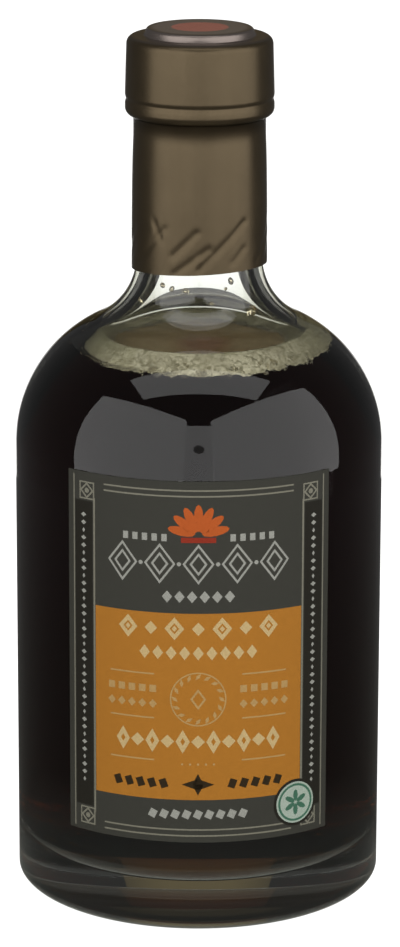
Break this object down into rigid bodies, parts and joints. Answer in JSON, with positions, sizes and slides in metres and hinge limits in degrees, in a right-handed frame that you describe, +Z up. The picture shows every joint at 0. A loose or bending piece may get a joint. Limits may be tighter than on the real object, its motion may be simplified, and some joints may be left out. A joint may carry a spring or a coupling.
{
  "type": "maple syrup bottle",
  "caption": "Round-shouldered clear glass bottle of dark maple syrup with a froth ring, a bronze shrink capsule over its neck and a front label.",
  "frame": {"origin": "middle of the bottle's underside, on the surface it stands on", "axes": "+Z up along the bottle's axis; the label faces -Y"},
  "size_m": [0.0758, 0.0761, 0.1812],
  "materials": {
    "bottle_glass": "clear polished glass",
    "syrup": "dark clear syrup, nearly black in the body",
    "froth": "fine pale bubbles",
    "capsule_film": "satin bronze shrink film",
    "label_paper": "matt printed paper"
  },
  "bodies": {
    "root": {"glass_bottle": "bottle_glass", "syrup": "syrup", "froth": "froth", "capsule": "capsule_film", "label": "label_paper"}
  },
  "joints": []
}
